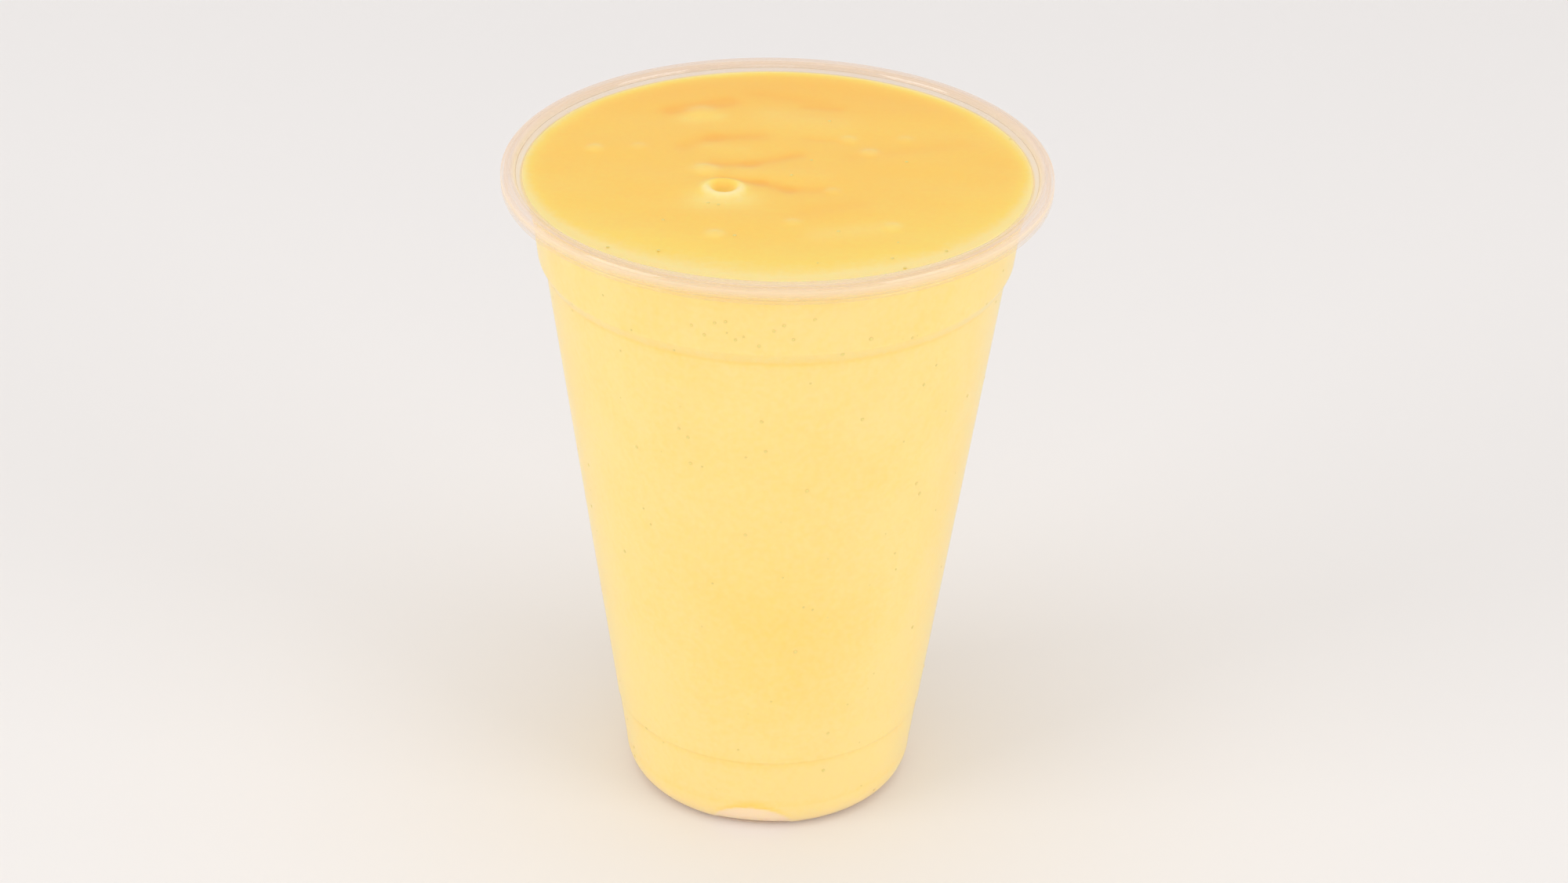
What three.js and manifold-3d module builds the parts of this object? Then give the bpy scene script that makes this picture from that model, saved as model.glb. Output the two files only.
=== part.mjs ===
// Mango lassi in a clear cold-drink cup. Millimetres, +Z up, foot centred on the origin.
import * as THREE from "three";
import { mergeVertices } from "three/addons/utils/BufferGeometryUtils.js";
import Module from "manifold-3d";

// Cup: outside sizes of the formed sheet
const cupHeight = 125.2;
const rimRadius = 49;
const sheet = 0.6;
const footRadius = 23.2; // outer edge of the flat foot ring
const footWidth = 2.6;
const puntHeight = 1.8; // underside of the raised base
const cornerRadius = 27.35; // where the rounded base corner meets the wall
const cornerHeight = 5.9;
const lowRingHeight = 16.3;
const lowRingStep = 0.2;
const wallTopRadius = 41.15;
const wallTopHeight = 104.3;
const stepRadius = 41.5; // foot of the stacking shoulder
const stepHeight = 106.6;
const neckFootRadius = 42.75;
const neckFootHeight = 108.9;
const neckTopRadius = 43.6;
const neckTopHeight = 116.1;
const throatRadius = 45.15; // neck just under the ledge of the rim
const throatHeight = 122.5;
const beadRadius = 1.3; // round top of the rolled rim
const skirtHeight = 3.9; // crest of the rim down to the lower edge of the roll
const rollRadius = 1; // inturned lower edge of the roll

// Lassi
const fillLevel = 123.4;
const wallGap = 0.3; // play between the lassi and the sheet
const meniscus = 0.15;
const waveHeight = 0.12;

// Air left at the front of the base corner
const pocketAngle = -96; // degrees from +X, front is -90
const pocketHalfAngle = 17;
const pocketTop = 5.4;
const pocketDepth = 1.6;

// Burst bubble with a raised lip, then the low domes of smaller ones: x, y, radius, height
const craterAt = [-9.4, -7.1];
const craterRingRadius = 2.9;
const craterRingHalfWidth = 1.1;
const craterRingHeight = 0.7;
const craterHoleRadius = 2;
const craterHoleDepth = 0.6;
const domes = [
  [-12.7, 1.2, 2.7, 0.7],
  [-14.8, 28.3, 2.4, 0.5],
  [-32.9, 8, 1.7, 0.35],
  [12.4, 14.6, 1.6, 0.3],
  [16.6, 9, 1.8, 0.3],
  [-10.6, -25.4, 1.6, 0.3],
  [20.2, -22, 1.7, 0.3],
];

const turnSegments = 60;
const bubbleSegments = 18;
const degree = Math.PI / 180;

// Points of an arc or ellipse quarter in the profile plane, angles in degrees from +radius.
function arc(centreR, centreZ, radiusR, radiusZ, from, to, steps) {
  const points = [];
  for (let i = 0; i <= steps; i++) {
    const a = (from + ((to - from) * i) / steps) * degree;
    points.push([centreR + radiusR * Math.cos(a), centreZ + radiusZ * Math.sin(a)]);
  }
  return points;
}

// The line moved sideways, to its left as it runs, with mitred corners.
function offsetLine(line, distance) {
  const normals = [];
  for (let i = 1; i < line.length; i++) {
    const dr = line[i][0] - line[i - 1][0];
    const dz = line[i][1] - line[i - 1][1];
    const length = Math.hypot(dr, dz);
    normals.push([-dz / length, dr / length]);
  }
  return line.map(([r, z], i) => {
    const before = normals[Math.max(i - 1, 0)];
    const after = normals[Math.min(i, normals.length - 1)];
    const sumR = before[0] + after[0];
    const sumZ = before[1] + after[1];
    const scale = (2 * distance) / (sumR * sumR + sumZ * sumZ);
    return [r + sumR * scale, z + sumZ * scale];
  });
}

// Outer face of the sheet, from the middle of the base up the wall and round to the end of the roll.
function outerFace() {
  const wallSlope = (wallTopRadius - cornerRadius) / (wallTopHeight - cornerHeight);
  const lowRingRadius = cornerRadius + wallSlope * (lowRingHeight - cornerHeight);
  const beadR = rimRadius - beadRadius;
  const beadZ = cupHeight - beadRadius;
  const tube = beadRadius - sheet; // inside of the bead, the outer face of the sheet there
  const rollZ = cupHeight - skirtHeight + rollRadius;
  const rollR = rimRadius - rollRadius;
  return [
    [0, puntHeight],
    [footRadius - footWidth - 3.2, puntHeight],
    [footRadius - footWidth - 1.4, puntHeight * 0.35],
    [footRadius - footWidth, 0],
    [footRadius, 0],
    ...arc(footRadius, cornerHeight, cornerRadius - footRadius, cornerHeight, -72, 0, 4),
    [lowRingRadius, lowRingHeight],
    [lowRingRadius + lowRingStep, lowRingHeight + 0.4],
    [lowRingRadius + lowRingStep + wallSlope * 44, lowRingHeight + 44],
    [wallTopRadius, wallTopHeight],
    [stepRadius, stepHeight],
    [neckFootRadius - 0.35, neckFootHeight - 0.7],
    [neckFootRadius, neckFootHeight],
    [neckTopRadius, neckTopHeight],
    [throatRadius - 0.6, throatHeight - 2.6],
    [throatRadius, throatHeight],
    [throatRadius + 0.35, throatHeight + 0.5],
    [beadR - tube - 0.75, beadZ - 0.65],
    [beadR - tube - 0.2, beadZ - 0.45],
    ...arc(beadR, beadZ, tube, tube, 180, 0, 7),
    ...arc(rollR, rollZ, rollRadius - sheet, rollRadius - sheet, 0, -110, 4),
  ];
}

function lathe(profile) {
  const points = profile.map(([r, z]) => new THREE.Vector2(Math.max(r, 0), z));
  return new THREE.LatheGeometry(points, turnSegments).rotateX(Math.PI / 2);
}

// Cup: outer face out, inner face back to the axis.
function cupGeometry() {
  const outer = outerFace();
  const inner = offsetLine(outer, sheet);
  return lathe([...outer, ...inner.reverse()]);
}

// Side of the lassi, from the axis at the floor up to its edge at the fill level.
function lassiSide() {
  const line = offsetLine(outerFace(), sheet + wallGap);
  const edgeHeight = fillLevel + meniscus;
  const end = line.findIndex(([, z]) => z > edgeHeight);
  const [r0, z0] = line[end - 1];
  const [r1, z1] = line[end];
  const t = (edgeHeight - z0) / (z1 - z0);
  return [...line.slice(0, end), [r0 + (r1 - r0) * t, edgeHeight]];
}

// Height of the slow swirls that the pour left on the surface.
function wave(x, y) {
  const fade = Math.max(0, 1 - Math.hypot(x, y) / 40);
  return waveHeight * fade * (Math.sin(0.21 * x + 0.12 * y) + Math.cos(0.3 * y - 0.07 * x));
}

// How far the lassi draws back from the wall at the air pocket, 0 to 1.
function pocketShare(angle, z) {
  const across = (angle - pocketAngle) / pocketHalfAngle;
  const up = z / pocketTop;
  const reach = across * across + up * up;
  return reach < 1 ? Math.sqrt(1 - reach) : 0;
}

function lassiBody() {
  const side = lassiSide();
  const edge = side[side.length - 1][0];
  const rings = [0.985, 0.95, 0.89, 0.8, 0.69, 0.57, 0.45, 0.33, 0.21, 0.1, 0];
  const top = rings.map((share) => [edge * share, fillLevel + meniscus * Math.max(0, share - 0.9) * 8]);
  const geometry = lathe([...side, ...top]);
  const position = geometry.getAttribute("position");
  for (let i = 0; i < position.count; i++) {
    const x = position.getX(i);
    const y = position.getY(i);
    const z = position.getZ(i);
    const radius = Math.hypot(x, y);
    if (z > fillLevel - 0.01 && radius < edge * 0.94) {
      position.setZ(i, z + wave(x, y));
    }
    if (radius > footRadius - 1 && z < pocketTop) {
      const pull = (pocketDepth * pocketShare(Math.atan2(y, x) / degree, z)) / radius;
      position.setXY(i, x * (1 - pull), y * (1 - pull));
    }
  }
  return geometry;
}

const wasm = await Module();
wasm.setup();

function solid(geometry) {
  const bare = geometry.clone();
  bare.deleteAttribute("normal");
  bare.deleteAttribute("uv");
  const merged = mergeVertices(bare, 1e-4);
  return new wasm.Manifold(
    new wasm.Mesh({
      numProp: 3,
      vertProperties: merged.getAttribute("position").array,
      triVerts: new Uint32Array(merged.index.array),
    }),
  );
}

function geometryOf(made) {
  const mesh = made.getMesh();
  const geometry = new THREE.BufferGeometry();
  geometry.setAttribute("position", new THREE.BufferAttribute(new Float32Array(mesh.vertProperties), 3));
  geometry.setIndex(new THREE.BufferAttribute(new Uint32Array(mesh.triVerts), 1));
  geometry.computeVertexNormals();
  return geometry;
}

// A flattened ball, half sunk in the surface.
function dome(x, y, radius, height) {
  const ball = new THREE.SphereGeometry(radius, bubbleSegments, bubbleSegments / 2);
  ball.rotateX(Math.PI / 2).scale(1, 1, height / radius);
  return ball.translate(x, y, fillLevel + wave(x, y));
}

function craterRing() {
  const profile = arc(craterRingRadius, 0, craterRingHalfWidth, craterRingHeight, 0, 360, 10);
  const points = profile.map(([r, z]) => new THREE.Vector2(r, z));
  const ring = new THREE.LatheGeometry(points, bubbleSegments * 2).rotateX(Math.PI / 2);
  return ring.translate(craterAt[0], craterAt[1], fillLevel + wave(...craterAt));
}

function lassiGeometry() {
  let body = solid(lassiBody());
  body = body.add(solid(craterRing()));
  body = body.subtract(solid(dome(...craterAt, craterHoleRadius, craterHoleDepth)));
  for (const bubble of domes) {
    body = body.add(solid(dome(...bubble)));
  }
  return geometryOf(body);
}

const clearPlastic = new THREE.MeshStandardMaterial({
  name: "clear_plastic",
  color: "#ecd9c8",
  roughness: 0.08,
  metalness: 0,
  transparent: true,
  opacity: 0.3,
});
const mangoLassi = new THREE.MeshStandardMaterial({
  name: "mango_lassi",
  color: "#fece71",
  roughness: 0.35,
  metalness: 0,
});

const cup = new THREE.Mesh(cupGeometry(), clearPlastic);
cup.name = "cup";
const lassi = new THREE.Mesh(lassiGeometry(), mangoLassi);
lassi.name = "lassi";

const drink = new THREE.Group();
drink.name = "mango_lassi";
drink.add(cup, lassi);

export default drink;
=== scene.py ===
import math

import bpy
import numpy as np
from mathutils import Matrix, Vector


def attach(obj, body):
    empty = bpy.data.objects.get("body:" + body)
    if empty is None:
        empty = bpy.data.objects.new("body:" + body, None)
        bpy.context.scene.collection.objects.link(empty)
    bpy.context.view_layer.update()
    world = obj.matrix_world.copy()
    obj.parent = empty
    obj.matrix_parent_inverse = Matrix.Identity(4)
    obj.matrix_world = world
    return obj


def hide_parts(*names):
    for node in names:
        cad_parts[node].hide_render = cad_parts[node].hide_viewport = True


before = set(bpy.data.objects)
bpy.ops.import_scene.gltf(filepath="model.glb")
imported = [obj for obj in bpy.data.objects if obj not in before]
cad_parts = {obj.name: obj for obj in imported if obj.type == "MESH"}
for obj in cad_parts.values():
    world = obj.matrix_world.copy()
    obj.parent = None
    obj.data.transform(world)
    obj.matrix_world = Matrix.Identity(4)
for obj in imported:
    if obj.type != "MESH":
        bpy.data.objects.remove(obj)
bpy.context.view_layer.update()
mm = 0.001
weldReach = 0.002   # mm, closes the seam and the poles of a turned body


def fromHex(code):
    # sRGB hex to linear RGBA
    parts = [int(code[i:i + 2], 16) / 255 for i in (1, 3, 5)]
    return tuple(c / 12.92 if c < 0.04045 else ((c + 0.055) / 1.055) ** 2.4 for c in parts) + (1.0,)


def addNode(tree, kind, settings=None, inputs=None):
    # one node with its settings; an input is a value or the socket that feeds it
    node = tree.nodes.new(kind)
    for name, value in (settings or {}).items():
        setattr(node, name, value)
    for key, value in (inputs or {}).items():
        if isinstance(value, bpy.types.NodeSocket):
            tree.links.new(value, node.inputs[key])
        else:
            node.inputs[key].default_value = value
    return node


def newMaterial(name):
    material = bpy.data.materials.new(name)
    material.use_nodes = True
    material.node_tree.nodes.clear()
    return material, material.node_tree


def arcPoints(centreR, centreZ, radiusR, radiusZ, start, end, steps):
    angles = np.radians(np.linspace(start, end, steps + 1))
    return [(centreR + radiusR * math.cos(a), centreZ + radiusZ * math.sin(a)) for a in angles]


def roundCorners(line, radius):
    # each inner corner becomes a short bend, no longer than a third of its shorter side
    out = [line[0]]
    for before, corner, after in zip(line[:-2], line[1:-1], line[2:]):
        before, corner, after = np.array(before), np.array(corner), np.array(after)
        back, ahead = before - corner, after - corner
        reach = min(radius, np.linalg.norm(back) / 3, np.linalg.norm(ahead) / 3)
        start = corner + back / np.linalg.norm(back) * reach
        end = corner + ahead / np.linalg.norm(ahead) * reach
        for t in (0, 0.33, 0.67, 1):
            out.append(tuple((1 - t) ** 2 * start + 2 * t * (1 - t) * corner + t * t * end))
    out.append(line[-1])
    return out


def fineLine(line, longest):
    out = [line[0]]
    for start, end in zip(line[:-1], line[1:]):
        steps = max(1, math.ceil(math.dist(start, end) / longest))
        for i in range(1, steps + 1):
            out.append(tuple(np.array(start) + (np.array(end) - np.array(start)) * i / steps))
    return out


def offsetLine(line, distance):
    # the line moved to its left as it runs, corners mitred
    points = np.array(line)
    steps = np.diff(points, axis=0)
    normals = np.stack([-steps[:, 1], steps[:, 0]], 1) / np.linalg.norm(steps, axis=1)[:, None]
    before = np.vstack([normals[:1], normals])
    after = np.vstack([normals, normals[-1:]])
    total = before + after
    moved = points + total * (2 * distance / (total ** 2).sum(1))[:, None]
    moved[:, 0] = np.maximum(moved[:, 0], 0)
    return [tuple(p) for p in moved]


camera = {
    "lens": 78.71,          # mm on a 36 mm sensor
    "distance": 608.65,     # mm, camera to the middle of the rim
    "above": 24.37,         # degrees, line of sight to the rim
    "pitch": 29.016,        # degrees the lens looks down
    "yaw": 0.213,
    "roll": 1.124,
}


def setCamera(c):
    above, pitch, yaw, roll = (math.radians(c[k]) for k in ("above", "pitch", "yaw", "roll"))
    rimHeight = cup["height"]
    place = Vector((0, -c["distance"] * math.cos(above), rimHeight + c["distance"] * math.sin(above))) * mm
    ahead = Vector((math.sin(yaw) * math.cos(pitch), math.cos(yaw) * math.cos(pitch), -math.sin(pitch)))
    side = Vector((math.cos(yaw), -math.sin(yaw), 0))
    up = side.cross(ahead)
    right = side * math.cos(roll) + up * math.sin(roll)
    top = -side * math.sin(roll) + up * math.cos(roll)
    facing = Matrix((right, top, -ahead)).transposed().to_4x4()
    data = bpy.data.cameras.new("camera")
    data.lens = c["lens"]
    data.sensor_width = 36
    data.clip_start = 0.01
    holder = bpy.data.objects.new("camera", data)
    holder.matrix_world = Matrix.Translation(place) @ facing
    bpy.context.scene.collection.objects.link(holder)
    bpy.context.scene.camera = holder


def turningTree():
    # turns a line of profile points round the Z axis: a grid, each row one profile point
    tree = bpy.data.node_groups.new("turnedBody", "GeometryNodeTree")
    tree.interface.new_socket("Profile", in_out="INPUT", socket_type="NodeSocketGeometry")
    tree.interface.new_socket("Segments", in_out="INPUT", socket_type="NodeSocketInt")
    tree.interface.new_socket("Weld", in_out="INPUT", socket_type="NodeSocketFloat")
    tree.interface.new_socket("Material", in_out="INPUT", socket_type="NodeSocketMaterial")
    tree.interface.new_socket("Body", in_out="OUTPUT", socket_type="NodeSocketGeometry")
    given = addNode(tree, "NodeGroupInput").outputs
    size = addNode(tree, "GeometryNodeAttributeDomainSize", {"component": "MESH"},
                   {"Geometry": given["Profile"]})
    columns = addNode(tree, "ShaderNodeMath", {"operation": "ADD"}, {0: given["Segments"], 1: 1.0}).outputs[0]
    rows = size.outputs["Point Count"]
    grid = addNode(tree, "GeometryNodeMeshGrid", None,
                   {"Size X": 1.0, "Size Y": 1.0, "Vertices X": rows, "Vertices Y": columns})
    index = addNode(tree, "GeometryNodeInputIndex").outputs[0]
    ratio = addNode(tree, "ShaderNodeMath", {"operation": "DIVIDE"}, {0: index, 1: columns}).outputs[0]
    # nudged by less than a step, which keeps the floor clear of rounding
    nudged = addNode(tree, "ShaderNodeMath", {"operation": "ADD"}, {0: ratio, 1: 0.0005}).outputs[0]
    row = addNode(tree, "ShaderNodeMath", {"operation": "FLOOR"}, {0: nudged}).outputs[0]
    rowStart = addNode(tree, "ShaderNodeMath", {"operation": "MULTIPLY"}, {0: row, 1: columns}).outputs[0]
    column = addNode(tree, "ShaderNodeMath", {"operation": "SUBTRACT"}, {0: index, 1: rowStart}).outputs[0]
    share = addNode(tree, "ShaderNodeMath", {"operation": "DIVIDE"},
                    {0: column, 1: given["Segments"]}).outputs[0]
    angle = addNode(tree, "ShaderNodeMath", {"operation": "MULTIPLY"}, {0: share, 1: 2 * math.pi}).outputs[0]
    place = addNode(tree, "GeometryNodeInputPosition").outputs[0]
    picked = addNode(tree, "GeometryNodeSampleIndex", {"data_type": "FLOAT_VECTOR", "domain": "POINT"},
                     {"Geometry": given["Profile"], "Value": place, "Index": row})
    parts = addNode(tree, "ShaderNodeSeparateXYZ", None, {0: picked.outputs[0]}).outputs
    cosine = addNode(tree, "ShaderNodeMath", {"operation": "COSINE"}, {0: angle}).outputs[0]
    sine = addNode(tree, "ShaderNodeMath", {"operation": "SINE"}, {0: angle}).outputs[0]
    x = addNode(tree, "ShaderNodeMath", {"operation": "MULTIPLY"}, {0: parts["X"], 1: cosine}).outputs[0]
    y = addNode(tree, "ShaderNodeMath", {"operation": "MULTIPLY"}, {0: parts["X"], 1: sine}).outputs[0]
    target = addNode(tree, "ShaderNodeCombineXYZ", None, {"X": x, "Y": y, "Z": parts["Z"]}).outputs[0]
    moved = addNode(tree, "GeometryNodeSetPosition", None,
                    {"Geometry": grid.outputs["Mesh"], "Position": target}).outputs[0]
    welded = addNode(tree, "GeometryNodeMergeByDistance", None,
                     {"Geometry": moved, "Distance": given["Weld"]}).outputs[0]
    faced = addNode(tree, "GeometryNodeFlipFaces", None, {"Mesh": welded}).outputs[0]
    smooth = addNode(tree, "GeometryNodeSetShadeSmooth", None, {"Geometry": faced}).outputs[0]
    real = addNode(tree, "GeometryNodeRealizeInstances", None, {"Geometry": smooth}).outputs[0]
    done = addNode(tree, "GeometryNodeSetMaterial", None,
                   {"Geometry": real, "Material": given["Material"]}).outputs[0]
    addNode(tree, "NodeGroupOutput", None, {0: done})
    return tree


def socketId(tree, name):
    return next(s.identifier for s in tree.interface.items_tree if s.name == name and s.in_out == "INPUT")


def madeByNodes(name, start, tree, values):
    # a plain mesh object from start's geometry run through the tree
    carrier = bpy.data.objects.new(name + "_start", start)
    bpy.context.scene.collection.objects.link(carrier)
    modifier = carrier.modifiers.new("nodes", "NODES")
    modifier.node_group = tree
    for key, value in values.items():
        modifier[socketId(tree, key)] = value
    bpy.context.view_layer.update()
    seen = carrier.evaluated_get(bpy.context.evaluated_depsgraph_get())
    mesh = bpy.data.meshes.new_from_object(seen)
    carrier.modifiers.remove(modifier)
    bpy.data.objects.remove(carrier)
    piece = bpy.data.objects.new(name, mesh)
    mesh.name = name
    bpy.context.scene.collection.objects.link(piece)
    return piece


def turned(name, profile, segments, material):
    start = bpy.data.meshes.new(name + "_profile")
    edges = [(i, i + 1) for i in range(len(profile) - 1)]
    start.from_pydata([(r * mm, 0, z * mm) for r, z in profile], edges, [])
    return madeByNodes(name, start, turningTree(),
                       {"Segments": segments, "Weld": weldReach * mm, "Material": material})


def volumeOf(mesh):
    # in ml
    mesh.calc_loop_triangles()
    co = np.empty(len(mesh.vertices) * 3)
    mesh.vertices.foreach_get("co", co)
    tri = np.empty(len(mesh.loop_triangles) * 3, np.int32)
    mesh.loop_triangles.foreach_get("vertices", tri)
    a, b, c = co.reshape(-1, 3)[tri.reshape(-1, 3)].transpose(1, 0, 2)
    return float(np.einsum("ij,ij->i", a, np.cross(b, c)).sum() / 6 / mm ** 3 / 1000)


cup = {                      # mm, outside sizes of the formed sheet
    "height": 125.2,
    "rimRadius": 49.0,
    "sheet": 0.6,
    "footRadius": 23.2,      # outer edge of the flat foot ring
    "footWidth": 2.6,
    "footBend": 0.8,
    "punt": 1.8,             # underside of the raised base
    "puntSlope": (3.2, 1.4, 0.35),   # inside the ring: where it starts, where it bends, height share there
    "cornerRadius": 27.35,   # where the rounded base corner meets the wall
    "cornerHeight": 5.9,
    "cornerStart": -84,      # degrees, where it leaves the foot ring
    "lowRing": 16.3,
    "lowRingStep": (0.2, 0.4),       # out, up
    "wallTop": (41.15, 104.3),       # radius, height
    "stepFoot": (41.5, 106.6),       # stacking shoulder
    "shoulderTop": (0.35, 0.7),      # in and down from the foot of the neck
    "neckFoot": (42.75, 108.9),
    "neckTop": (43.6, 116.1),
    "flare": (0.6, 2.6),             # in and down from the throat
    "throat": (45.15, 122.5),        # under the ledge of the rim
    "ledgeFoot": (0.35, 0.5),        # out and up from the throat
    "ledge": ((0.75, 0.65), (0.2, 0.45)),    # in and down from the foot of the bead
    "wallBend": 1.2,
    "bead": 1.3,             # round top of the rolled rim
    "skirt": 3.9,            # crest of the rim down to the lower edge of the roll
    "roll": 1.0,
    "rollEnd": -110,         # degrees
    "rollDepth": 2.4,        # how far in from the rim the sheet is doubled
    "paintedBeadLines": ((22, 0.35), (48, -0.4), (75, 0.3), (100, -0.4), (125, 0.4)),   # painted highlight and shade lines round the bead: degrees round it, share
    "lineWidth": 9.0,        # degrees
    # painted highlight along the outer edge of the bead
    "paintedLipHighlight": 0.6,
    "paintedFootHaze": 1.3,         # height of the milky haze on the foot ring, there as painted light
    "nearClear": 0.3,        # share of its haze that the roll loses where the drink is close behind it
    "longest": 2.0,          # longest edge along the profile
    "segments": 256,
}


def cupOutside(c):
    # outer face of the sheet, middle of the base to the end of the roll
    wallR, wallZ = c["wallTop"]
    slope = (wallR - c["cornerRadius"]) / (wallZ - c["cornerHeight"])
    lowR = c["cornerRadius"] + slope * (c["lowRing"] - c["cornerHeight"])
    flatR = c["footRadius"] - c["footWidth"]
    beadR, beadZ = c["rimRadius"] - c["bead"], c["height"] - c["bead"]
    tube = c["bead"] - c["sheet"]
    rollR, rollZ = c["rimRadius"] - c["roll"], c["height"] - c["skirt"] + c["roll"]
    throatR, throatZ = c["throat"]
    stepOut, stepUp = c["lowRingStep"]
    ledge = [(beadR - tube - inward, beadZ - down) for inward, down in c["ledge"]]
    slopeIn, slopeOut, slopeShare = c["puntSlope"]
    foot = [
        (0, c["punt"]),
        (flatR - slopeIn, c["punt"]),
        (flatR - slopeOut, c["punt"] * slopeShare),
        (flatR, 0),
        (c["footRadius"], 0),
    ]
    foot = roundCorners(foot, c["footBend"])
    corner = arcPoints(c["footRadius"], c["cornerHeight"], c["cornerRadius"] - c["footRadius"],
                       c["cornerHeight"], c["cornerStart"], 0, 16)
    wall = [
        (lowR, c["lowRing"]),
        (lowR + stepOut, c["lowRing"] + stepUp),
        (wallR, wallZ),
        c["stepFoot"],
        (c["neckFoot"][0] - c["shoulderTop"][0], c["neckFoot"][1] - c["shoulderTop"][1]),
        c["neckFoot"],
        c["neckTop"],
        (throatR - c["flare"][0], throatZ - c["flare"][1]),
        (throatR, throatZ),
        (throatR + c["ledgeFoot"][0], throatZ + c["ledgeFoot"][1]),
    ] + ledge
    wall = roundCorners([corner[-1]] + wall + [(beadR - tube, beadZ)], c["wallBend"])[1:-1]
    bead = arcPoints(beadR, beadZ, tube, tube, 180, 0, 20)
    roll = arcPoints(rollR, rollZ, c["roll"] - c["sheet"], c["roll"] - c["sheet"], 0, c["rollEnd"], 10)
    return fineLine(foot + corner + wall + bead + roll, c["longest"])


def storeShare(mesh, name, values):
    mesh.attributes.new(name, "FLOAT", "POINT").data.foreach_set("value", values.astype(np.float32))


def pointsOf(mesh):
    co = np.empty(len(mesh.vertices) * 3, np.float32)
    mesh.vertices.foreach_get("co", co)
    return co.reshape(-1, 3).astype(float) / mm


def makeCup(c, material):
    outside = cupOutside(c)
    inside = offsetLine(outside, c["sheet"])
    piece = turned("clear_cup", outside + inside[::-1], c["segments"], material)
    p = pointsOf(piece.data)
    radius = np.hypot(p[:, 0], p[:, 1])
    # each share fades in over a few tenths of a millimetre
    overBead = p[:, 2] - c["height"] + c["bead"]
    onBead = np.clip((radius - c["rimRadius"] + c["rollDepth"]) / 0.7, 0, 1)
    aboveSkirt = np.clip((overBead + 0.3) / 0.3 + 0.5, 0, 1)
    # painted highlight along the outer edge of the bead
    lip = np.exp(-((overBead + 0.1) / 0.4) ** 2) * (radius > c["rimRadius"] - 0.5)
    belowSkirt = np.clip((c["height"] - c["skirt"] + 0.5 * c["roll"] - p[:, 2]) / 0.5, 0, 1)
    # painted light: milky haze on the foot ring, strongest at the floor
    foot = np.exp(-(p[:, 2] / c["paintedFootHaze"]) ** 2)
    # fine painted highlight and shade lines round the bead, milkier and clearer at set angles
    along = np.degrees(np.arctan2(overBead, radius - c["rimRadius"] + c["bead"]))
    lines = sum(share * np.exp(-((along - at) / c["lineWidth"]) ** 2) for at, share in c["paintedBeadLines"])
    clearer = 1 - c["nearClear"] * np.clip(-p[:, 1] / c["rimRadius"], 0, 1)
    band = onBead * (np.maximum(aboveSkirt, 0.25 * belowSkirt) + aboveSkirt * lines) * clearer
    # the rolled share carries the thick rim's haze and painted light: the bead lines, the lip highlight and
    # the foot ring
    storeShare(piece.data, "rolled", band + c["paintedLipHighlight"] * lip + foot)
    # painted light: the drink's light caught in the sheet over it, strongest towards the front
    overDrink = np.clip((p[:, 2] - c["throat"][1] - 0.4) / 0.4, 0, 1)
    paintedDrinkLight = np.clip(0.75 - 0.5 * p[:, 1] / c["rimRadius"], 0.3, 1)
    storeShare(piece.data, "ledge", np.maximum((1 - onBead) * overDrink * paintedDrinkLight, 0.5 * lip * paintedDrinkLight))
    return piece


# Thermoformed clear PET: a thin glossy sheet that is clear face on and turns milky and mirror-like edge on,
# so the rolled rim shows as a pale band between two brighter lines.
plastic = {
    "tint": "#fefcfa",      # what one face lets through
    "haze": "#f8e9dd",      # scattered light
    "ledgeHaze": "#fff0c8", # over the drink, where the sheet catches its light
    "ledgeShare": 0.55,
    "hazeFlat": 0.012,      # share of haze face on
    "hazeEdge": 0.06,       # share of haze edge on
    "hazeCurve": 2.5,
    "onwardShare": 0.4,     # share of the haze's light that goes on through
    "rolledFlat": 0.36,     # more haze in the thick rolled rim, face on
    "rolledEdge": 0.6,      # and edge on
    "mirrorFlat": 0.03,     # gloss of one face, face on
    "mirrorEdge": 0.35,     # and edge on
    "roughness": 0.07,
    "ripple": 0.02,         # mm, forming marks
    "rippleSize": 9.0,      # mm
}


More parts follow.
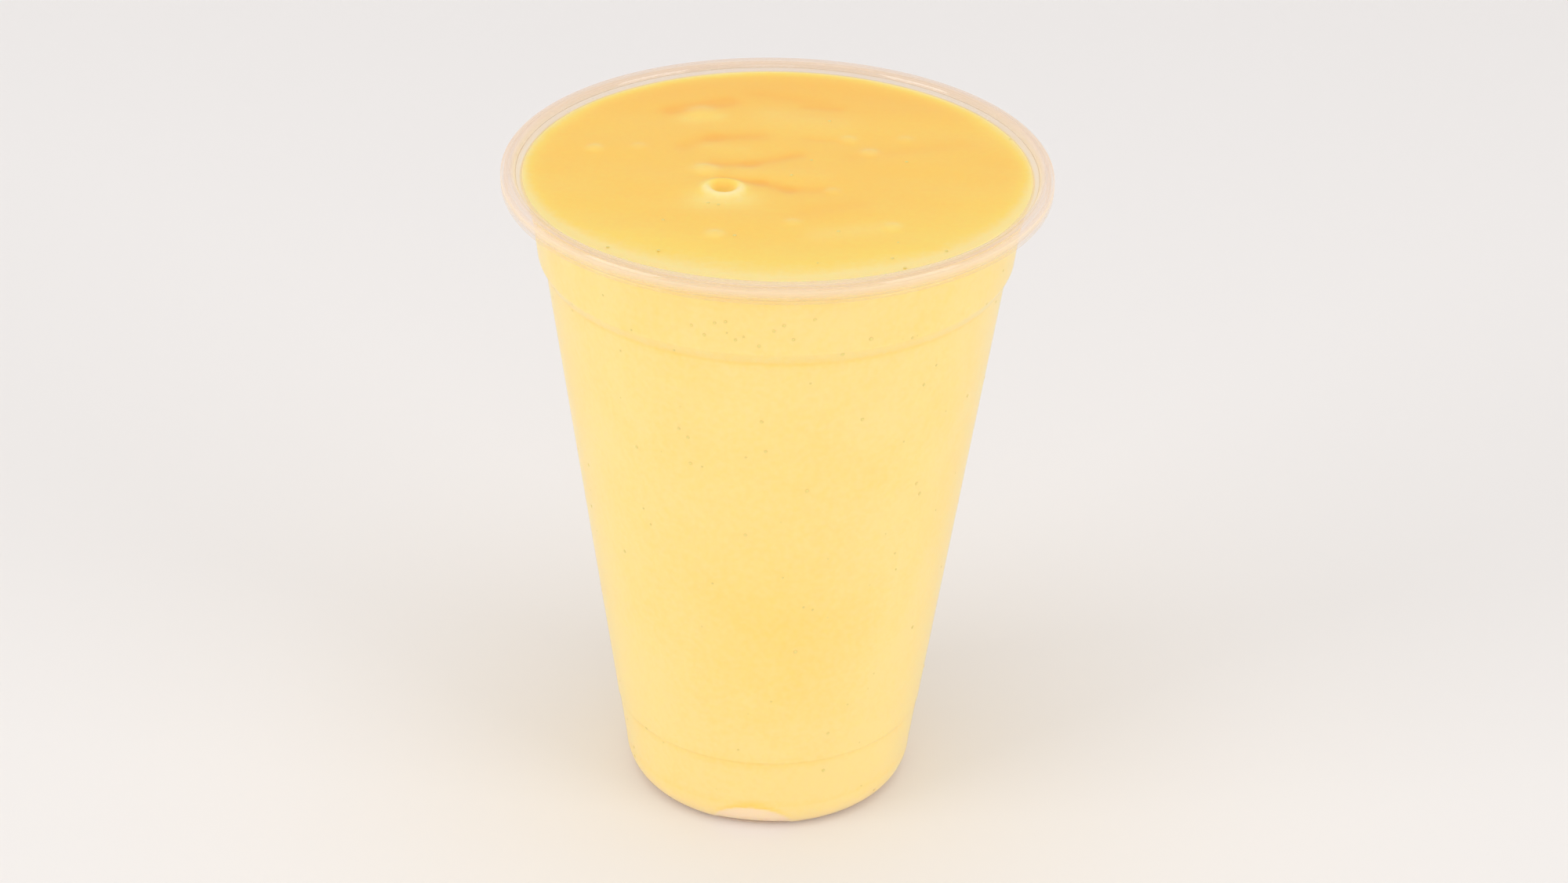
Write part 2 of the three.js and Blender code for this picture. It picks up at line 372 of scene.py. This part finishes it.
def clearPlastic(p):
    material, tree = newMaterial("thermoformed_clear_pet")
    place = addNode(tree, "ShaderNodeTexCoord").outputs["Object"]
    ripple = addNode(tree, "ShaderNodeTexNoise", None,
                     {"Vector": place, "Scale": 1 / (p["rippleSize"] * mm), "Detail": 2.0})
    bump = addNode(tree, "ShaderNodeBump", None, {
        "Strength": 0.3,
        "Distance": p["ripple"] * mm,
        "Height": ripple.outputs["Fac"],
    }).outputs[0]
    facing = addNode(tree, "ShaderNodeLayerWeight", None, {"Blend": 0.5, "Normal": bump}).outputs["Facing"]
    rise = addNode(tree, "ShaderNodeMath", {"operation": "POWER"}, {0: facing, 1: p["hazeCurve"]}).outputs[0]
    thin = addNode(tree, "ShaderNodeMapRange", None,
                   {"Value": rise, "To Min": p["hazeFlat"], "To Max": p["hazeEdge"]}).outputs[0]
    thick = addNode(tree, "ShaderNodeMapRange", None,
                    {"Value": rise, "To Min": p["rolledFlat"], "To Max": p["rolledEdge"]}).outputs[0]
    rolled = addNode(tree, "ShaderNodeAttribute", {"attribute_name": "rolled"}).outputs["Fac"]
    ledge = addNode(tree, "ShaderNodeAttribute", {"attribute_name": "ledge"}).outputs["Fac"]
    clearShare = addNode(tree, "ShaderNodeMath", {"operation": "MULTIPLY_ADD"},
                         {0: rolled, 1: thick, 2: thin}).outputs[0]
    hazeShare = addNode(tree, "ShaderNodeMath", {"operation": "MULTIPLY_ADD"},
                        {0: ledge, 1: p["ledgeShare"], 2: clearShare}).outputs[0]
    hazeColour = addNode(tree, "ShaderNodeMix", {"data_type": "RGBA"}, {
        "Factor": ledge,
        "A": fromHex(p["haze"]),
        "B": fromHex(p["ledgeHaze"]),
    }).outputs["Result"]
    # gloss climbs with the fifth power of facing, as on any clear plastic
    steep = addNode(tree, "ShaderNodeMath", {"operation": "POWER"}, {0: facing, 1: 5.0}).outputs[0]
    mirror = addNode(tree, "ShaderNodeMapRange", None,
                     {"Value": steep, "To Min": p["mirrorFlat"], "To Max": p["mirrorEdge"]}).outputs[0]
    through = addNode(tree, "ShaderNodeBsdfTransparent", None, {"Color": fromHex(p["tint"])}).outputs[0]
    back = addNode(tree, "ShaderNodeBsdfDiffuse", None, {"Color": hazeColour}).outputs[0]
    onward = addNode(tree, "ShaderNodeBsdfTranslucent", None, {"Color": hazeColour}).outputs[0]
    haze = addNode(tree, "ShaderNodeMixShader", None, {0: p["onwardShare"], 1: back, 2: onward}).outputs[0]
    gloss = addNode(tree, "ShaderNodeBsdfAnisotropic", None,
                    {"Color": (1, 1, 1, 1), "Roughness": p["roughness"], "Normal": bump}).outputs[0]
    film = addNode(tree, "ShaderNodeMixShader", None, {0: hazeShare, 1: through, 2: haze}).outputs[0]
    sheet = addNode(tree, "ShaderNodeMixShader", None, {0: mirror, 1: film, 2: gloss}).outputs[0]
    addNode(tree, "ShaderNodeOutputMaterial", None, {"Surface": sheet})
    return material


lassi = {
    "level": 123.4,
    "intoWall": 0.52,        # into the sheet, so no air shows and it fills the width, as refraction has it
    "meniscus": 0.12,        # rise at the wall
    "meniscusWidth": 2.2,
    "topStep": 0.4,          # ring spacing on the surface
    "segments": 360,
    "swirl": 0.05,           # height of the slow undulations
    "calmEdge": 6.0,         # and over how many mm they die out at the wall
    "crater": (-9.4, -7.3),  # burst bubble: a raised ring round a deeper hole
    "craterRing": (3.0, 1.15, 0.6),        # radius, half width, height
    "craterHole": (1.75, 0.8),             # radius, depth
    "domes": [               # bubbles under the skin: x, y, radius, height, tone
        (-12.6, 0.7, 2.6, 0.5, 0.5),
        (-14.3, 26.0, 3.0, 0.4, 0.2),
        (-32.9, 8.8, 1.7, 0.35, 0.4),
        (12.7, 14.6, 1.7, 0.3, 0.35),
        (16.5, 9.0, 1.9, 0.35, 0.45),
        (-10.5, -26.0, 1.8, 0.35, 0.6),
        (19.9, -21.9, 1.8, 0.3, 0.5),
        (2.7, -20.6, 1.5, 0.2, 0.3),
        (9.7, -7.6, 1.4, 0.2, 0.2),
        (23.0, 15.0, 1.6, 0.2, 0.2),
        (-25.0, 10.0, 1.5, 0.2, 0.2),
    ],
    "folds": [               # soft folds of the pour: from, to, half width, height, tone (pulp and foam, with painted shade and light along the folds)
        (-11.0, 3.2, -5.0, 3.2, 1.74, -0.15, -0.85),
        (-5.0, 3.2, 3.5, 7.2, 1.63, -0.12, -0.77),
        (-9.5, -3.0, -3.0, -4.4, 1.15, -0.15, -0.85),
        (-3.0, -4.4, 2.0, -7.2, 1.54, -0.12, -0.85),
        (2.0, -7.2, 7.5, -7.2, 1.74, -0.09, -0.51),
        (-17.0, 10.5, -11.8, 14.3, 2.02, -0.09, -0.51),
        (-11.8, 14.3, -3.5, 15.5, 2.02, -0.12, -0.77),
        (-19.5, 26.5, -9.5, 30.5, 2.02, -0.12, -1.2),
        (5.2, 29.0, 11.2, 28.3, 1.44, -0.09, -0.59),
        (5.2, 14.5, 11.2, 13.9, 1.15, -0.06, -0.42),
        (-4.0, 34.5, 8.0, 31.0, 1.93, -0.06, -0.34),
        (13.0, 7.0, 33.0, 13.0, 2.12, -0.06, -0.3),
        (5.0, -16.0, 14.0, -13.0, 2.12, -0.06, -0.3),
        (-1.0, 23.0, 10.0, 20.0, 5.04, 0.09, 0.15),
        (-12.5, 10.4, -6.0, 9.4, 2.02, 0.07, 0.12),
        (-16.5, 22.6, -11.5, 23.6, 2.46, 0.09, 0.3),
        (7.0, -26.0, 18.0, -22.5, 2.69, 0.06, 0.3),
        (-12.2, -12.0, -6.8, -11.4, 3.58, 0.03, 0.6),
        (-6.0, 0.0, 8.0, -1.5, 2.24, 0.06, 0.1),
    ],
    "cream": 0.22,           # how milky bubbles, the crater and pale folds are
    "paintedFrontLight": (1.35, 9.5),     # painted light, paler towards the front wall: share, reach in mm
    "paintedEdgeLight": (0.95, 2.3),  # painted light, a thin pale edge all round: share, reach in mm
    "paintedFootPale": (0.9, 2.2),  # painted light, pale in the corner of the foot: share, reach in mm
    "thinEdge": (0.5, 0.5),  # film that thins out on the wall: share, reach in mm
    "paintedBackShade": (-0.45, 18.0, 20.0),  # painted shade, deeper towards the back: tone, y where it starts, reach
    "sideToneAndLight": 0.92,        # seen through the wall's haze, and paler than the top with painted light
    "paintedNeckShade": (0.25, 2.5), # painted shade under the rim, deeper just under the surface: share, reach in mm
    "paintedFootLight": (0.9, 14.0), # painted light, paler towards the foot where the floor lights it: share, reach in mm
    "paintedMiddleShade": (0.22, -88.0, 28.0, 46.0, 30.0),  # painted shade, deeper in the middle: share, angle, half, height, half
    "cornerTone": 0.05,      # yellower where the light passes through the corner of the foot
    "paintedRingShade": 0.2,         # thin line of painted shade under the low ring of the cup
    "paintedBaseShade": 0.12,        # another painted shade line where the wall turns in to the foot
    "paintedStepShade": 0.2,         # another painted shade line at the foot of the stacking shoulder
    "pocket": (-96.0, 17.0, 5.4, 0.5),     # air left at the foot: angle, half angle, top, depth
    "paintedPocketShade": 0.5,        # painted shade along its upper edge
}


def lassiProfile(c, l):
    side = np.array(offsetLine(cupOutside(c), c["sheet"] - l["intoWall"]))
    end = int(np.argmax(side[:, 1] > l["level"] - 0.3))
    line = [tuple(p) for p in side[:end]]
    edge = line[-1][0] + 0.05
    rings = int(edge / l["topStep"])
    line.append((edge, l["level"] - 0.15))
    top = [(edge * (1 - i / rings) - (0.1 if i == 0 else 0), l["level"]) for i in range(rings + 1)]
    return line + top, edge


def surfaceOf(x, y, edge, l):
    # relief of the poured surface over its level in mm, its tone (-1 deep orange, 0 even, 1 pale; pulp and
    # foam together with painted light and shade) and cream
    radius = np.hypot(x, y)
    inside = np.clip(edge - radius, 0, None)
    fade = np.clip(inside / l["calmEdge"], 0, 1)
    # three slow waves, in radians for each mm
    h = l["swirl"] * fade * (np.sin(0.21 * x + 0.12 * y) + np.cos(0.33 * y - 0.09 * x)
                             + 0.5 * np.sin(0.55 * y + 0.17 * x + 1.3))
    h = h + l["meniscus"] * np.clip(1 - inside / l["meniscusWidth"], 0, 1) ** 2
    # painted light: the surface paler towards the front wall
    frontShare = np.clip(-y / np.maximum(radius, 0.1), 0, 1)
    tone = l["paintedFrontLight"][0] * frontShare * np.exp(-inside / l["paintedFrontLight"][1])
    # painted light: a thin pale edge all round
    tone = tone + l["paintedEdgeLight"][0] * np.exp(-(inside / l["paintedEdgeLight"][1]) ** 1.5)
    # painted shade: the surface deeper towards the back
    deeper, start, reach = l["paintedBackShade"]
    back = np.clip((y - start) / reach, 0, 1)
    tone = tone + deeper * back * back * (3 - 2 * back) * (1 - np.exp(-(inside / 3) ** 2))
    cream = np.zeros_like(x)
    # each fold's tone: painted shade where negative, painted light where positive, with pulp and foam
    for x0, y0, x1, y1, width, top, share in l["folds"]:
        along = (x1 - x0, y1 - y0)
        t = np.clip(((x - x0) * along[0] + (y - y0) * along[1]) / (along[0] ** 2 + along[1] ** 2), 0, 1)
        near = np.exp(-((x - x0 - t * along[0]) ** 2 + (y - y0 - t * along[1]) ** 2) / width ** 2)
        h = h + top * near
        tone = np.where(share > 0, np.maximum(tone, tone * (1 - near) + share * near), tone + share * near)
        cream = np.maximum(cream, share * near)
    tone = np.maximum(tone, -1)
    for cx, cy, r, top, share in l["domes"]:
        d = np.hypot(x - cx, y - cy) / r
        h = h + top * np.exp(-(d * 1.15) ** 2.5)
        near = 0.6 * np.exp(-((d - 0.4) / 0.6) ** 2)
        tone = tone * (1 - near) + np.maximum(tone, share) * near
        cream = np.maximum(cream, near * (0.3 + share))
    d = np.hypot(x - l["crater"][0], y - l["crater"][1])
    ringR, ringW, ringH = l["craterRing"]
    holeR, holeD = l["craterHole"]
    ring = np.exp(-((d - ringR) / ringW) ** 2)
    hole = np.exp(-(d / holeR) ** 3)
    h = h + ringH * ring - holeD * hole
    # painted light and shade: the ring is palest and creamiest on its near side, deeper on its far side
    paintedFarShade = 0.5 + 0.5 * (y - l["crater"][1]) / np.maximum(d, 0.1)
    tone = tone * (1 - ring) + (1.1 - 0.9 * paintedFarShade ** 2) * ring
    tone = tone * (1 - hole) + 0.05 * hole
    cream = np.maximum(cream, ring * (1.1 - 1.1 * paintedFarShade)) * (1 - hole)
    return h, tone, cream * l["cream"]


def makeLassi(c, l, material):
    profile, edge = lassiProfile(c, l)
    piece = turned("mango_lassi", profile, l["segments"], material)
    mesh = piece.data
    p = pointsOf(mesh)
    x, y, z = p.T.copy()
    radius = np.hypot(x, y)
    onTop = z > l["level"] - 0.01
    # painted light: the walls paler than the top, and paler still towards the foot
    tone = l["sideToneAndLight"] + l["paintedFootLight"][0] * np.exp(-z / l["paintedFootLight"][1])
    tone = np.minimum(tone, 1 - l["cornerTone"] * np.exp(-(z / c["cornerHeight"]) ** 4))
    # painted shade just under the surface, where the rim shades the drink
    tone -= l["paintedNeckShade"][0] * np.exp(-(l["level"] - z) / l["paintedNeckShade"][1])
    # thin lines of painted shade under the low ring, at the base corner and at the stacking shoulder
    tone -= l["paintedRingShade"] * np.exp(-((z - c["lowRing"] - 0.1) / 0.45) ** 2)
    tone -= l["paintedBaseShade"] * np.exp(-((z - c["cornerHeight"]) / 0.4) ** 2)
    tone -= l["paintedStepShade"] * np.exp(-((z - c["stepFoot"][1]) / 0.5) ** 2)
    # painted shade, deeper in the middle of the front
    share, across, half, middle, reach = l["paintedMiddleShade"]
    turn = np.degrees(np.arctan2(y, x))
    tone -= share * np.exp(-((turn - across) / half) ** 2 - ((z - middle) / reach) ** 2)
    rise, topTone, cream = surfaceOf(x[onTop], y[onTop], edge, l)
    p[onTop, 2] += rise
    tone[onTop] = topTone
    angle, half, top, depth = l["pocket"]
    across = (turn - angle) / half
    reach = across ** 2 + (z / top) ** 2
    free = np.clip((radius - c["footRadius"] + 4) / 4, 0, 1)
    dent = np.where(z < top, np.sqrt(np.clip(1 - reach, 0, 1)), 0) * free
    # painted shade along the pocket's upper edge
    tone -= l["paintedPocketShade"] * np.exp(-((reach - 1.1) / 0.18) ** 2) * np.clip(z / top * 2 - 1, 0, 1)
    p[:, 0] -= x / np.maximum(radius, 1e-6) * dent * depth
    p[:, 1] -= y / np.maximum(radius, 1e-6) * dent * depth
    mesh.vertices.foreach_set("co", (p * mm).astype(np.float32).ravel())
    storeShare(mesh, "tone", tone)
    # pale film colour in the air pocket, and painted light in the corner of the foot
    thin = np.clip(dent * 2 + l["paintedFootPale"][0] * np.exp(-z / l["paintedFootPale"][1]), 0, 1)
    thin[onTop] = l["thinEdge"][0] * np.exp(-((edge - radius[onTop]) / l["thinEdge"][1]) ** 2) + cream
    storeShare(mesh, "thin", thin)
    mesh.update()
    return piece


# Mango pulp whisked into yoghurt: opaque and milky, light goes in and comes back warm, and the skin is wet.
# Foam and thin edges are paler, thick pulp is deeper; the tone also carries painted light and shade.
drinkLook = {
    "deep": "#fcbc55",
    "even": "#fecb60",
    "yellow": "#fed86a",     # half way to pale
    "pale": "#fde396",
    "thin": "#ffe6c4",       # a mere film, the drink behind trapped air, and painted light at the foot
    "roughness": 0.36,
    "ior": 1.36,
    "specular": 0.3,
    "scatter": (4.0, 2.4, 1.0),   # mm, how far red, green and blue light travel
    "scatterShare": 0.4,
    "mottle": 0.08,          # how far the streaks shift the tone
    "streakSize": 16.0,      # mm
    "stretch": (0.6, 1.8, 0.8),
    "grain": 0.06,
    "grainSize": 1.2,        # mm, pulp and tiny bubbles
}


def lassiSkin(l):
    material, tree = newMaterial("mango_lassi_whisked")
    place = addNode(tree, "ShaderNodeTexCoord").outputs["Object"]
    tone = addNode(tree, "ShaderNodeAttribute", {"attribute_name": "tone"}).outputs["Fac"]
    gap = addNode(tree, "ShaderNodeAttribute", {"attribute_name": "thin"}).outputs["Fac"]
    stretched = addNode(tree, "ShaderNodeMapping", None,
                        {"Vector": place, "Scale": l["stretch"]}).outputs[0]
    streaks = addNode(tree, "ShaderNodeTexNoise", None, {
        "Vector": stretched,
        "Scale": 1 / (l["streakSize"] * mm),
        "Detail": 3.0,
        "Distortion": 0.6,
    })
    grain = addNode(tree, "ShaderNodeTexNoise", None,
                    {"Vector": place, "Scale": 1 / (l["grainSize"] * mm), "Detail": 2.0})
    slow = addNode(tree, "ShaderNodeMapRange", None,
                   {"Value": streaks.outputs["Fac"], "From Min": 0.3, "From Max": 0.7,
                    "To Min": -l["mottle"], "To Max": l["mottle"]}).outputs[0]
    fine = addNode(tree, "ShaderNodeMapRange", None,
                   {"Value": grain.outputs["Fac"], "From Min": 0.3, "From Max": 0.7,
                    "To Min": -l["grain"], "To Max": l["grain"]}).outputs[0]
    drift = addNode(tree, "ShaderNodeMath", {"operation": "ADD"}, {0: slow, 1: fine}).outputs[0]
    shade = addNode(tree, "ShaderNodeMath", {"operation": "ADD"}, {0: tone, 1: drift}).outputs[0]
    deeper = addNode(tree, "ShaderNodeMapRange", None,
                     {"Value": shade, "From Min": 0.0, "From Max": -1.0}).outputs[0]
    yellower = addNode(tree, "ShaderNodeMapRange", None, {"Value": shade, "From Max": 0.5}).outputs[0]
    paler = addNode(tree, "ShaderNodeMapRange", None, {"Value": shade, "From Min": 0.5}).outputs[0]
    lower = addNode(tree, "ShaderNodeMix", {"data_type": "RGBA"},
                    {"Factor": deeper, "A": fromHex(l["even"]), "B": fromHex(l["deep"])}).outputs["Result"]
    upper = addNode(tree, "ShaderNodeMix", {"data_type": "RGBA"},
                    {"Factor": yellower, "A": lower, "B": fromHex(l["yellow"])}).outputs["Result"]
    drink = addNode(tree, "ShaderNodeMix", {"data_type": "RGBA"},
                    {"Factor": paler, "A": upper, "B": fromHex(l["pale"])}).outputs["Result"]
    colour = addNode(tree, "ShaderNodeMix", {"data_type": "RGBA"},
                     {"Factor": gap, "A": drink, "B": fromHex(l["thin"])}).outputs["Result"]
    bump = addNode(tree, "ShaderNodeBump", None,
                   {"Strength": 0.25, "Distance": 0.05 * mm, "Height": grain.outputs["Fac"]})
    shader = addNode(tree, "ShaderNodeBsdfPrincipled", {"subsurface_method": "RANDOM_WALK"}, {
        "Base Color": colour,
        "Roughness": l["roughness"],
        "IOR": l["ior"],
        "Specular IOR Level": l["specular"],
        "Subsurface Weight": l["scatterShare"],
        "Subsurface Radius": tuple(v * mm for v in l["scatter"]),
        "Subsurface Scale": 1.0,
        "Normal": bump.outputs[0],
    })
    addNode(tree, "ShaderNodeOutputMaterial", None, {"Surface": shader.outputs[0]})
    return material


# Bits of mango fibre and tiny air pores that show as fine darker dots under the skin.
specks = {
    "given": [               # x, y, z of the placed ones on the surface
        (6.0, 5.3, 123.4), (-28.5, -31.9, 123.5), (-19.9, -32.8, 123.5), (28.8, -31.1, 123.5),
        (21.6, -37.9, 123.5), (20.7, -28.0, 123.4), (-12.0, -13.4, 123.4), (-10.2, -14.0, 123.4),
    ],
    "givenOnWall": [         # angle in degrees, height
        (-103.5, 114.7), (-109.0, 113.5), (-98.8, 111.7), (-90.2, 113.9), (-85.8, 112.2), (-81.2, 116.1),
        (-97.2, 69.9), (-101.0, 115.2), (-106.0, 112.0), (-93.5, 110.8), (-88.0, 115.0),
    ],
    "radius": (0.11, 0.37),  # mm
    "flatness": 0.35,
    "wallDensity": 8500,     # for each square metre
    "topDensity": 1600,
    "seed": 7,
    "amber": "#efd57f",
    "olive": "#e5d37c",
    "changes": 2.5,          # mm over which the colour turns
}


def speckTree():
    # small balls on a surface, each sunk to its middle
    tree = bpy.data.node_groups.new("sprinkledSpecks", "GeometryNodeTree")
    sockets = {"Geometry": "Geometry", "Drink": "Object", "Wall Density": "Float", "Top Density": "Float",
               "Smallest": "Float", "Largest": "Float", "Flatness": "Float", "Top Height": "Float",
               "Seed": "Int", "Material": "Material"}
    for name, kind in sockets.items():
        tree.interface.new_socket(name, in_out="INPUT", socket_type="NodeSocket" + kind)
    tree.interface.new_socket("Specks", in_out="OUTPUT", socket_type="NodeSocketGeometry")
    given = addNode(tree, "NodeGroupInput").outputs
    drink = addNode(tree, "GeometryNodeObjectInfo", None, {"Object": given["Drink"]}).outputs["Geometry"]
    place = addNode(tree, "GeometryNodeInputPosition").outputs[0]
    height = addNode(tree, "ShaderNodeSeparateXYZ", None, {0: place}).outputs["Z"]
    isTop = addNode(tree, "FunctionNodeCompare", {"operation": "GREATER_THAN"},
                    {"A": height, "B": given["Top Height"]}).outputs[0]
    density = addNode(tree, "GeometryNodeSwitch", {"input_type": "FLOAT"}, {
        "Switch": isTop,
        "False": given["Wall Density"],
        "True": given["Top Density"],
    }).outputs[0]
    strewn = addNode(tree, "GeometryNodeDistributePointsOnFaces", None,
                     {"Mesh": drink, "Density": density, "Seed": given["Seed"]}).outputs["Points"]
    placed = addNode(tree, "GeometryNodeMeshToPoints", None, {"Mesh": given["Geometry"]}).outputs[0]
    joined = addNode(tree, "GeometryNodeJoinGeometry", None, {0: placed})
    tree.links.new(strewn, joined.inputs[0])
    ball = addNode(tree, "GeometryNodeMeshIcoSphere", None,
                   {"Radius": 1.0, "Subdivisions": 2}).outputs["Mesh"]
    normal = addNode(tree, "GeometryNodeInputNormal").outputs[0]
    outward = addNode(tree, "GeometryNodeSampleNearestSurface", {"data_type": "FLOAT_VECTOR"},
                      {"Mesh": drink, "Value": normal}).outputs[0]
    turn = addNode(tree, "FunctionNodeAlignRotationToVector", {"axis": "Z"}, {"Vector": outward}).outputs[0]
    size = addNode(tree, "FunctionNodeRandomValue", {"data_type": "FLOAT"}, {
        "Min": given["Smallest"],
        "Max": given["Largest"],
        "Seed": given["Seed"],
    }).outputs["Value"]
    flat = addNode(tree, "ShaderNodeMath", {"operation": "MULTIPLY"},
                   {0: size, 1: given["Flatness"]}).outputs[0]
    scale = addNode(tree, "ShaderNodeCombineXYZ", None, {"X": size, "Y": size, "Z": flat}).outputs[0]
    balls = addNode(tree, "GeometryNodeInstanceOnPoints", None, {
        "Points": joined.outputs[0],
        "Instance": ball,
        "Rotation": turn,
        "Scale": scale,
    }).outputs[0]
    real = addNode(tree, "GeometryNodeRealizeInstances", None, {"Geometry": balls}).outputs[0]
    smooth = addNode(tree, "GeometryNodeSetShadeSmooth", None, {"Geometry": real}).outputs[0]
    done = addNode(tree, "GeometryNodeSetMaterial", None,
                   {"Geometry": smooth, "Material": given["Material"]}).outputs[0]
    addNode(tree, "NodeGroupOutput", None, {0: done})
    return tree


def speckSkin(k):
    # wet fibre: between amber and olive from one speck to the next
    material, tree = newMaterial("mango_fibre")
    place = addNode(tree, "ShaderNodeTexCoord").outputs["Object"]
    noise = addNode(tree, "ShaderNodeTexNoise", None,
                    {"Vector": place, "Scale": 1 / (k["changes"] * mm), "Detail": 1.0}).outputs["Fac"]
    colour = addNode(tree, "ShaderNodeMix", {"data_type": "RGBA"},
                     {"Factor": noise, "A": fromHex(k["amber"]), "B": fromHex(k["olive"])}).outputs["Result"]
    shader = addNode(tree, "ShaderNodeBsdfPrincipled", None, {"Base Color": colour, "Roughness": 0.4})
    addNode(tree, "ShaderNodeOutputMaterial", None, {"Surface": shader.outputs[0]})
    return material


def makeSpecks(c, l, k, drink):
    side = lassiProfile(c, l)[0]
    points = list(k["given"])
    heights = [z for r, z in side]
    for angle, z in k["givenOnWall"]:
        i = next(n for n, h in enumerate(heights) if h > z)
        share = (z - heights[i - 1]) / (heights[i] - heights[i - 1])
        r = side[i - 1][0] + (side[i][0] - side[i - 1][0]) * share
        points.append((r * math.cos(math.radians(angle)), r * math.sin(math.radians(angle)), z))
    start = bpy.data.meshes.new("specks_start")
    start.from_pydata([[v * mm for v in p] for p in points], [], [])
    smallest, largest = k["radius"]
    return madeByNodes("pulp_specks", start, speckTree(), {
        "Drink": drink,
        "Wall Density": float(k["wallDensity"]),
        "Top Density": float(k["topDensity"]),
        "Smallest": smallest * mm,
        "Largest": largest * mm,
        "Flatness": k["flatness"],
        "Top Height": (l["level"] - 0.5) * mm,
        "Seed": k["seed"],
        "Material": speckSkin(k),
    })


studio = {                   # metres
    "floor": "#f0edec",
    "floorWidth": 4.4,
    "floorFront": -1.6,
    "bendStart": 0.9,        # where the floor starts to curve up to the backdrop
    "bendRadius": 0.5,
    "backdropTop": 1.6,
    "world": 0.7,
    "worldColour": (1.0, 0.995, 0.985, 1.0),
    "aim": (0.0, 0.0, 0.08),
    "key": (-1.4, -0.7, 0.5, 0.9, 8.4),    # x, y, z, size, watts
    "fill": (1.3, -0.78, 0.42, 0.9, 7.2),
    "front": (0.1, -1.5, 0.3, 0.6, 1.2),
    "top": (0.0, -0.1, 1.2, 0.9, 2.5),
}


def plainStage(s):
    material, tree = newMaterial("painted_board")
    shader = addNode(tree, "ShaderNodeBsdfPrincipled", None,
                     {"Base Color": fromHex(s["floor"]), "Roughness": 0.8})
    addNode(tree, "ShaderNodeOutputMaterial", None, {"Surface": shader.outputs[0]})
    start, radius, half = s["bendStart"], s["bendRadius"], s["floorWidth"] / 2
    bend = arcPoints(start, radius, radius, radius, -90, 0, 9)
    line = [(s["floorFront"], 0.0)] + bend + [(start + radius, s["backdropTop"])]
    points = [(x, y, z) for y, z in line for x in (-half, half)]
    faces = [(2 * i, 2 * i + 1, 2 * i + 3, 2 * i + 2) for i in range(len(line) - 1)]
    mesh = bpy.data.meshes.new("floor")
    mesh.from_pydata(points, [], faces)
    mesh.materials.append(material)
    for face in mesh.polygons:
        face.use_smooth = True
    floor = bpy.data.objects.new("floor", mesh)
    bpy.context.scene.collection.objects.link(floor)


def softLights(s):
    for name in ("key", "fill", "front", "top"):
        x, y, z, size, watts = s[name]
        data = bpy.data.lights.new(name, "AREA")
        data.shape = "SQUARE"
        data.size = size
        data.energy = watts
        holder = bpy.data.objects.new(name, data)
        holder.location = (x, y, z)
        aim = Vector(s["aim"]) - holder.location
        holder.rotation_euler = aim.to_track_quat("-Z", "Y").to_euler()
        bpy.context.scene.collection.objects.link(holder)
    world = bpy.data.worlds.new("studio")
    world.use_nodes = True
    world.node_tree.nodes.clear()
    sky = addNode(world.node_tree, "ShaderNodeBackground", None,
                  {"Color": s["worldColour"], "Strength": s["world"]})
    addNode(world.node_tree, "ShaderNodeOutputWorld", None, {"Surface": sky.outputs[0]})
    bpy.context.scene.world = world


bpy.context.scene.view_settings.view_transform = "Standard"
setCamera(camera)
print("camera set")

cupPiece = makeCup(cup, clearPlastic(plastic))
print("cup turned,", len(cupPiece.data.polygons), "faces,", round(volumeOf(cupPiece.data), 2), "ml")
lassiPiece = makeLassi(cup, lassi, lassiSkin(drinkLook))
print("lassi poured,", len(lassiPiece.data.polygons), "faces,", round(volumeOf(lassiPiece.data), 2), "ml")

speckPiece = makeSpecks(cup, lassi, specks, lassiPiece)
print("specks strewn,", len(speckPiece.data.polygons), "faces")

plainStage(studio)
softLights(studio)
print("floor and lights ready")

for piece, node, slotName in ((cupPiece, "cup", "clear_plastic"), (lassiPiece, "lassi", "lassi")):
    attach(piece, "root")
    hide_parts(node)
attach(speckPiece, "root")
